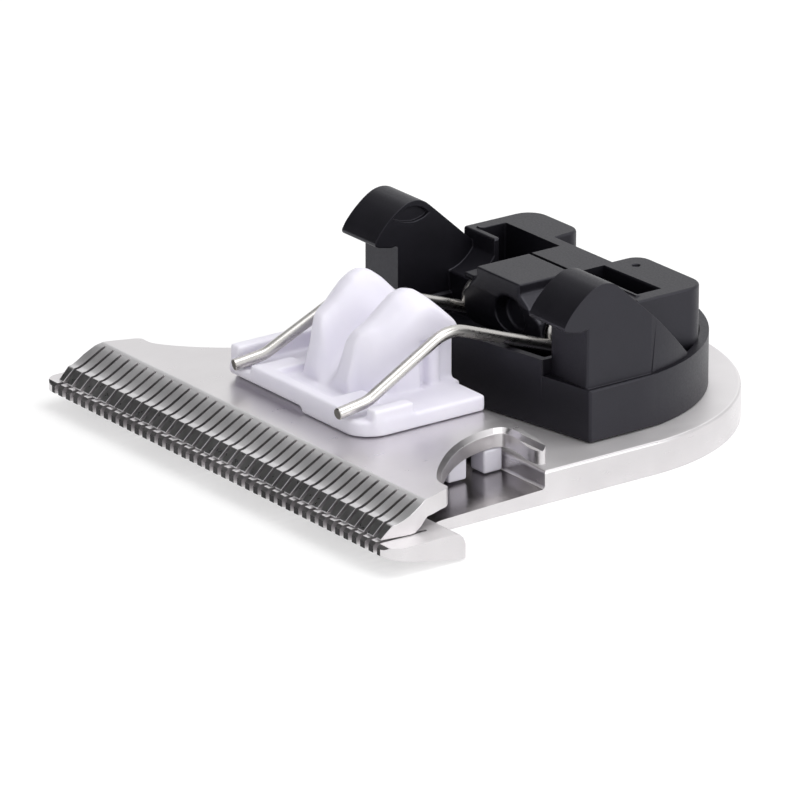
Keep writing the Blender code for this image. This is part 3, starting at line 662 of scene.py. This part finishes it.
def tube(route, radius, sides=18, cap=0.06):
    """A closed round wire along the route, with slightly broken end edges."""
    bm = bmesh.new()
    rings = []
    normal = Vector((1, 0, 0))
    count = len(route)
    stations = [(route[0], radius - cap)]
    first = (route[1] - route[0]).normalized()
    last = (route[-1] - route[-2]).normalized()
    stations.append((route[0] + first * cap, radius))
    stations += [(point, radius) for point in route[1:-1]]
    stations.append((route[-1] - last * cap, radius))
    stations.append((route[-1], radius - cap))
    for index, (point, size) in enumerate(stations):
        k = min(max(index - 1, 0), count - 1)
        ahead, behind = route[min(k + 1, count - 1)], route[max(k - 1, 0)]
        tangent = (ahead - behind).normalized()
        normal = (normal - tangent * normal.dot(tangent)).normalized()
        side = tangent.cross(normal)
        rings.append([bm.verts.new(point + size * (normal * math.cos(a) + side * math.sin(a)))
                      for a in np.linspace(0, 2 * math.pi, sides, endpoint=False)])
    for one, two in zip(rings, rings[1:]):
        for i in range(sides):
            j = (i + 1) % sides
            bm.faces.new((one[i], one[j], two[j], two[i]))
    bm.faces.new(list(reversed(rings[0])))
    bm.faces.new(rings[-1])
    return mesh_object(bm)


COIL_Y, COIL_Z, COIL_R = 5.9, 7.7, 1.2
COIL_X, COIL_TURNS, COIL_PITCH = 5.3, 2, 0.96


def torsion_spring():
    start = -110
    coil = []
    for angle in np.linspace(start, start - 360 * COIL_TURNS, 28 * COIL_TURNS + 1):
        travel = (start - angle) / 360
        coil.append(Vector((COIL_X - travel * COIL_PITCH,
                            COIL_Y + COIL_R * math.cos(math.radians(angle)),
                            COIL_Z + COIL_R * math.sin(math.radians(angle)))))
    halves = []
    for side, tip, drop in ((1, (6.45, -15.55, 6.3), 0.0), (-1, (6.9, -15.25, 6.05), 0.25)):
        corners = [tip, (6.38, -12.9, 6.65 - 0.4 * drop), (5.95, -5.3, 10.5 - drop), tuple(coil[0])]
        arm = rounded_route(corners, (0.5, 1.6))
        halves.append([Vector((side * p.x, p.y, p.z)) for p in arm + coil[1:]])
    route = halves[1] + list(reversed(halves[0]))
    wire = tube(route, WIRE_R)

    materials = [wire_steel, cut_steel]

    def choose(centre, normal):
        at_tip = centre.y < -15.1 and abs(normal.y) > 0.8
        return materials.index(cut_steel if at_tip else wire_steel)
    dressed(wire, "spring_wire", materials, choose=choose)
    wire.data.shade_smooth()
    wire.data.set_sharp_from_angle(angle=math.radians(40))
    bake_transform(wire)
    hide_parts("torsion_spring")


# ---------------------------------------------------------------- spring holder

TONGUE_X = 2.62
TONGUE_FRONT = 3.65
SPLIT_Y = 8.8
DECK_Z = 11.0
POCKET_Z = 5.0
BARREL_R = 2.15


def spring_holder():
    rear = SPLIT_Y - 0.22
    floor = HOLDER_LOW.z
    lower = arc((COIL_Y, COIL_Z), BARREL_R, 185, 262, 10)
    outline = ([(rear, floor), (rear, DECK_Z), (TONGUE_FRONT, DECK_Z), (TONGUE_FRONT - 0.05, 9.4)]
               + lower + [(COIL_Y, floor)])
    block = prism(outline, -6, 6, "X")
    front = [(-TONGUE_X, DECK_Z + 1), (-TONGUE_X, 10.2), (-4.3, 8.6), (-4.3, 4), (5.0, 4), (5.0, 8.6),
             (TONGUE_X, 10.2), (TONGUE_X, DECK_Z + 1)]
    combine(block, [prism(front, 0, 6.2, "Y")], "INTERSECT")
    core = prism([(rear, floor), (rear, DECK_Z), (6.0, DECK_Z), (6.0, floor)], -TONGUE_X, TONGUE_X, "X")
    barrel = arc((COIL_Y, COIL_Z), BARREL_R, 0, 352.5, 47)
    hoods = [box((side * 4.9 - 0.75, 4.75, 8.0), (side * 4.9 + 0.75, 7.1, 9.5)) for side in (-1, 1)]
    combine(block, [core, prism(barrel, -4.3, 5.2, "X")] + hoods, "UNION")
    for side in (-1, 1):
        bore = rod(1.77, (side * 2.75, COIL_Y, COIL_Z), (side * 6, COIL_Y, COIL_Z), 48)
        combine(block, [bore], "DIFFERENCE")
    oval = [(1.35 + 1.8 * x, 8.25 + 1.45 * y) for x, y in arc((0, 0), 1.0, 0, 345, 23)]
    combine(block, [prism(oval, 0, COIL_Y - 1.0, "Y")], "DIFFERENCE")
    modified(block, "REMESH", mode="VOXEL", voxel_size=0.10, adaptivity=0.0)
    modified(block, "SMOOTH", factor=0.5, iterations=8)
    block.data.shade_smooth()
    return settle(block, "spring_tongue", [black_plastic], BASE, ["spring_holder"])


# ---------------------------------------------------------------- bracket

BRACKET_X = 14.05
BRACKET_FRONT = 1.45
NOSE_Y = -1.05
RIM_TOP = 6.6
TOWER_IN, TOWER_OUT = 9.4, 13.65
LUG_X, LUG_REAR = 10.6, 15.0
FRONT_WALL_TOP = 7.8
SLOT_X = 9.3
TRIM_GAP = 0.3


def d_outline(inset, steps=36):
    half = BRACKET_X - inset
    front = [(0, NOSE_Y + inset), (half, BRACKET_FRONT + inset)]
    return both_sides(front + arc((0, ARC_Y), half, 0, 90, steps))


def lugs():
    """The two rounded lugs, the bridge behind them and the fixed rear half of the tongue."""
    outer = LUG_X - 1.7
    near_lug = ([(2.4, 8.4), (LUG_X, 8.4)] + arc((outer, LUG_REAR - 1.7), 1.7, 0, 90, 8)
                + arc((3.6, LUG_REAR - 1.2), 1.2, 90, 180, 5))
    far_lug = ([(-4.5, 8.4)] + arc((-5.7, LUG_REAR - 1.2), 1.2, 0, 90, 5)
               + arc((-outer, LUG_REAR - 1.7), 1.7, 90, 180, 8) + [(-LUG_X, 8.4)])
    return [prism(near_lug, 4.0, DECK_Z), prism(far_lug, 4.0, DECK_Z),
            box((-5.0, 11.4, 8.6), (3.0, 12.3, DECK_Z)),
            box((-TONGUE_X, SPLIT_Y, 4.0), (TONGUE_X, 11.6, DECK_Z))]


def tower_shape():
    """The right tower: upright front, forward beak, round crown, straight rear slope."""
    beak = [(BRACKET_FRONT, 11.15), (0.9, 11.05), (-0.3, 11.3), (-0.6, 11.45)]
    crown = smooth_line([(-0.62, 11.7), (-0.25, 12.3), (0.45, 13.05), (1.3, 13.75), (2.2, 14.25),
                         (3.1, 14.38), (3.9, 14.15), (4.6, 13.6)], 5)
    outline = [(BRACKET_FRONT, 3.5)] + beak + crown + [(8.1, 10.45), (11.7, 6.9), (11.7, 3.5)]
    tower = prism(outline, TOWER_IN, TOWER_OUT, "X")
    eye = (smooth_line([(1.0, 13.3), (1.7, 13.75), (2.6, 13.95), (3.6, 13.75), (4.3, 13.2)], 4)
           + smooth_line([(3.9, 12.95), (2.9, 12.75), (1.8, 12.95)], 4))
    combine(tower, [prism(eye, TOWER_IN - 1, TOWER_IN + 0.3, "X")], "DIFFERENCE")
    edge = BRACKET_X - TRIM_GAP
    trim = prism([(edge, -10)] + arc((0, ARC_Y), edge, 0, 75, 40) + [(-5, 25), (-5, -10)], 0, 20)
    return combine(tower, [trim], "INTERSECT")


def front_parts():
    """The low wall along the nose, with the two posts at each end that meet the towers."""
    slope = (BRACKET_FRONT - NOSE_Y) / BRACKET_X
    half, thick = 9.35, 0.6
    plan = both_sides([(0, NOSE_Y), (half, NOSE_Y + half * slope),
                       (half, NOSE_Y + half * slope + thick), (0, NOSE_Y + thick)])
    posts = [box((min(side * a, side * b), front, 4.0), (max(side * a, side * b), 2.2, FRONT_WALL_TOP))
             for a, b, front in ((8.8, 9.39, 0.7), (9.0, 9.6, 1.5)) for side in (-1, 1)]
    return [prism(plan, 4.0, FRONT_WALL_TOP)] + posts


def cross_beams():
    """The hollowed beams from the tongue's room to the towers."""
    cove = [(9.4, 4.5), (9.4, DECK_Z)] + arc((5.6, DECK_Z + 0.6), 3.4, -8, -80, 12) + [(6.4, 4.5)]
    return [prism(cove, TONGUE_X, TOWER_IN + 0.3, "X"), prism(cove, -TOWER_IN - 0.3, -6.7, "X")]


def bracket():
    body = prism(d_outline(0), BRACKET_LOW.z, RIM_TOP)
    moat = prism(d_outline(0.7), 4.4, 9)
    keep = box((-LUG_X, -5, 3), (LUG_X, LUG_REAR, 10))
    flanks = box((-20, -5, 3.2), (20, 9.5, 9.6))
    combine(moat, [keep, flanks], "DIFFERENCE")
    combine(body, [moat], "DIFFERENCE")
    combine(body, lugs(), "UNION")
    pocket = prism([(-9.1, 1.9), (0, 0.2), (9.1, 1.9), (9.1, 8.3), (-9.1, 8.3)], POCKET_Z, 15)
    combine(body, [pocket], "DIFFERENCE")
    tower = tower_shape()
    combine(body, [mirrored(tower), tower] + cross_beams() + front_parts(), "UNION")
    inner = TONGUE_X + 0.15
    slots = [box((inner, 9.35, 6.0), (SLOT_X, 11.4, 12)), box((-SLOT_X, 8.9, 6.0), (-inner, 11.4, 12)),
             box((-6.7, 7.0, 6.0), (-inner, 9.5, 12))]
    combine(body, slots, "DIFFERENCE")
    tongue_room = box((-inner, 0, POCKET_Z), (inner, SPLIT_Y, 15))
    coil_room = rod(BARREL_R + 0.2, (-6.4, COIL_Y, COIL_Z), (6.4, COIL_Y, COIL_Z), 40)
    combine(body, [tongue_room, coil_room], "DIFFERENCE")
    pit = rod(0.3, (4.16, 13.28, DECK_Z - 0.25), (4.16, 13.28, DECK_Z + 0.5), 16)
    combine(body, [pit], "DIFFERENCE")

    def share(p):
        in_moat = p.z < 7.5 and p.y > 7.5 and math.hypot(p.x, p.y - ARC_Y) > 11.0
        beside_split = 8.0 < p.y < 12.6 and abs(p.x) < 3.3
        return 0.0 if in_moat or beside_split else 1.0
    edged(tidied(body, 0.006), 0.20, 3, share=share)
    return settle(body, "latch_bracket", [black_plastic], BASE, ["bracket"])


fixed_blade()
moving_blade()
follower()
glide_feet()
torsion_spring()
spring_holder()
bracket()
for cad_name in ("bracket_screw_left", "bracket_screw_right", "follower_rivet_left",
                 "follower_rivet_right"):
    cad_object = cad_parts[cad_name]
    cad_object.data.materials.clear()
    cad_object.data.materials.append(screw_steel)


# ---------------------------------------------------------------- floor, light and camera

CAMERA_PLACE = (0.411368, -0.307236, 0.191827)
CAMERA_AIM = (-0.75612, 0.55506, -0.34668)
CAMERA_LENS = 334.73
WORLD_STRENGTH = 0.92
DARK_CARD = (-0.7094, -0.4967, 0.5)
FLOOR_GLOW = 0.42


def floor():
    bm = bmesh.new()
    bmesh.ops.create_grid(bm, x_segments=1, y_segments=1, size=1.5)
    plane = mesh_object(bm, "floor")
    plane.location.z = -0.00002
    n = Nodes("floor")
    n.link(n.mixed(n.noise((0.02, 0.02, 0.02), 2.0), (0.60, 0.60, 0.60), (0.62, 0.62, 0.62)),
           n.shader.inputs["Base Color"])
    n.shader.inputs["Roughness"].default_value = 0.9
    n.shader.inputs["Specular IOR Level"].default_value = 0.1
    n.shader.inputs["Emission Color"].default_value = (1.0, 1.0, 1.0, 1.0)
    n.shader.inputs["Emission Strength"].default_value = FLOOR_GLOW
    plane.data.materials.append(n.material)


def surroundings(strength, dark_card):
    """A white studio with one soft dark card to the front left."""
    world = bpy.data.worlds.new("studio")
    bpy.context.scene.world = world
    world.use_nodes = True
    tree = world.node_tree
    background = tree.nodes["Background"]
    background.inputs["Strength"].default_value = strength
    direction = tree.nodes.new("ShaderNodeTexCoord").outputs["Generated"]
    dot = tree.nodes.new("ShaderNodeVectorMath")
    dot.operation = "DOT_PRODUCT"
    dot.inputs[1].default_value = dark_card
    tree.links.new(direction, dot.inputs[0])
    ramp = tree.nodes.new("ShaderNodeMapRange")
    ramp.interpolation_type = "SMOOTHSTEP"
    ramp.inputs["From Min"].default_value = math.cos(math.radians(50))
    ramp.inputs["From Max"].default_value = math.cos(math.radians(18))
    ramp.inputs["To Min"].default_value = 1.0
    ramp.inputs["To Max"].default_value = 0.03
    tree.links.new(dot.outputs["Value"], ramp.inputs["Value"])
    tree.links.new(ramp.outputs["Result"], background.inputs["Color"])


def softbox(name, place, target, size, power):
    light = bpy.data.lights.new(name, "AREA")
    light.shape = "RECTANGLE"
    light.size, light.size_y = size
    light.energy = power
    obj = bpy.data.objects.new(name, light)
    bpy.context.scene.collection.objects.link(obj)
    obj.location = place
    obj.rotation_euler = (Vector(target) - Vector(place)).to_track_quat("-Z", "Y").to_euler()


def camera():
    data = bpy.data.cameras.new("camera")
    data.lens = CAMERA_LENS
    data.sensor_width = 36.0
    data.clip_start = 0.01
    data.clip_end = 10.0
    obj = bpy.data.objects.new("camera", data)
    bpy.context.scene.collection.objects.link(obj)
    obj.location = CAMERA_PLACE
    obj.rotation_euler = Vector(CAMERA_AIM).to_track_quat("-Z", "Y").to_euler()
    bpy.context.scene.camera = obj


floor()
surroundings(WORLD_STRENGTH, DARK_CARD)
softbox("key", (0.10, 0.12, 0.55), (0.0, 0.0, 0.0), (0.35, 0.35), 1.1)
softbox("side", (0.50, 0.25, 0.25), (0.0, 0.0, 0.0), (0.30, 0.30), 0.6)
camera()
bpy.context.scene.view_settings.view_transform = "Standard"
